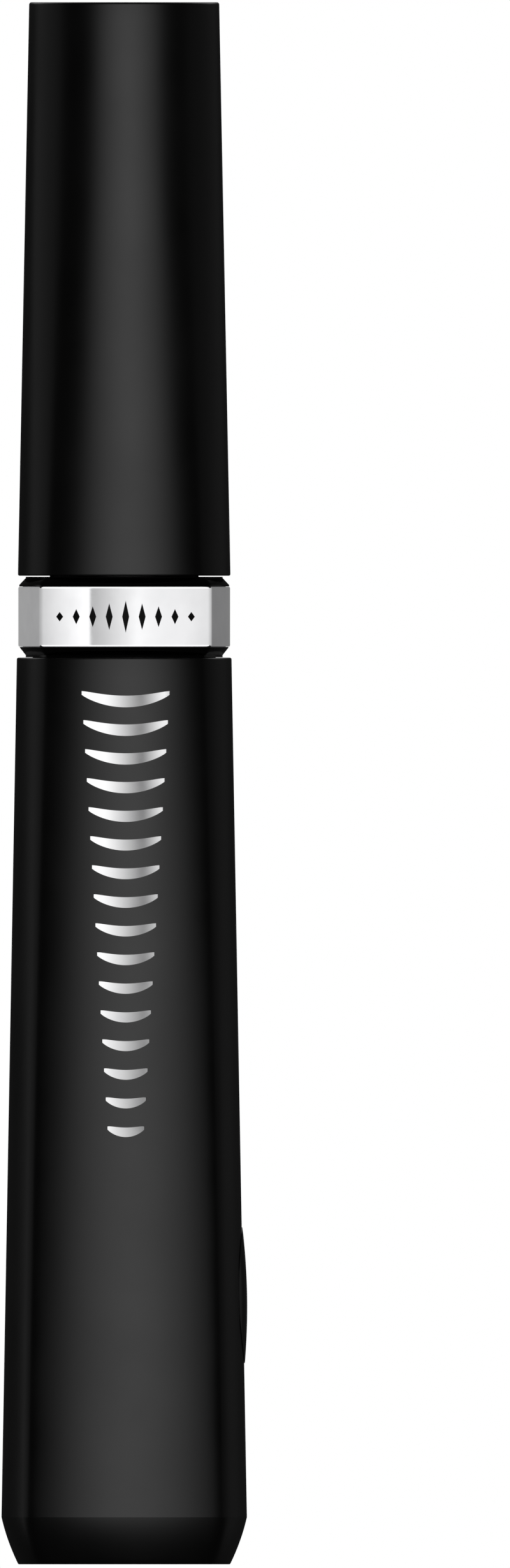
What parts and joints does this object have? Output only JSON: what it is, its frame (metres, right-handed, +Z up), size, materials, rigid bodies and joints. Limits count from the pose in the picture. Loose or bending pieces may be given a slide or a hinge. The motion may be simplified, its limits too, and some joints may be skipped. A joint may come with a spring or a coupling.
{
  "type": "mascara tube",
  "caption": "Slim closed mascara tube with a chamfered foot, a banded collar, and a long screw cap that carries a rod and a moulded bristle brush.",
  "frame": {"origin": "centre of the flat under the bottle's foot", "axes": "+Z up along the tube towards the closed end of the cap; -Y is the front; +X is the side with the raised pad"},
  "size_m": [0.0202, 0.0202, 0.128],
  "materials": {
    "shell_plastic": "satin black",
    "label": "satin silver-grey label film",
    "vial_plastic": "moulded, low gloss",
    "collar_plastic": "gloss black",
    "band_metal": "polished metallised plastic",
    "wiper_rubber": "soft natural elastomer",
    "pad_plastic": "gloss black",
    "liner_plastic": "moulded polypropylene",
    "weight_metal": "turned",
    "rod_plastic": "gloss black",
    "brush_plastic": "moulded elastomer, semi-gloss",
    "bristle_plastic": "moulded elastomer",
    "gasket_foam": "closed-cell foam",
    "ring_rubber": "smooth"
  },
  "bodies": {
    "bottle": {"bottle_shell": "shell_plastic", "base_label": "label", "inner_vial": "vial_plastic", "collar_ring": "collar_plastic", "silver_band": "band_metal", "wiper": "wiper_rubber", "side_pad": "pad_plastic"},
    "gasket": {"neck_gasket": "gasket_foam"},
    "plug_seal": {"plug_ring": "ring_rubber"},
    "wand": {"cap_shell": "shell_plastic", "cap_liner": "liner_plastic", "cap_weight": "weight_metal", "rod": "rod_plastic", "brush_core": "brush_plastic", "bristles_front": "bristle_plastic", "bristles_left": "bristle_plastic", "bristles_right": "bristle_plastic", "bristles_front_right": "bristle_plastic", "bristles_back_left": "bristle_plastic", "bristles_back": "bristle_plastic"}
  },
  "joints": [
    {"name": "wand_pull", "type": "slide", "parent": "bottle", "child": "gasket", "axis": [0, 0, 1], "range_m": [0, 0.09], "deforming": ["bristles_front", "bristles_left", "bristles_right", "bristles_front_right", "bristles_back_left", "bristles_back"]},
    {"name": "cap_rise", "type": "slide", "parent": "gasket", "child": "plug_seal", "axis": [0, 0, 1], "range_m": [0, 0.0031]},
    {"name": "cap_unscrew", "type": "hinge", "parent": "plug_seal", "child": "wand", "pos_m": [0, 0, 0.081], "axis": [0, 0, 1], "range_deg": [0, 360]}
  ],
  "couplings": [
    {"joint": "cap_rise", "follows": "cap_unscrew", "m_per_rad": 0.00047746}
  ]
}
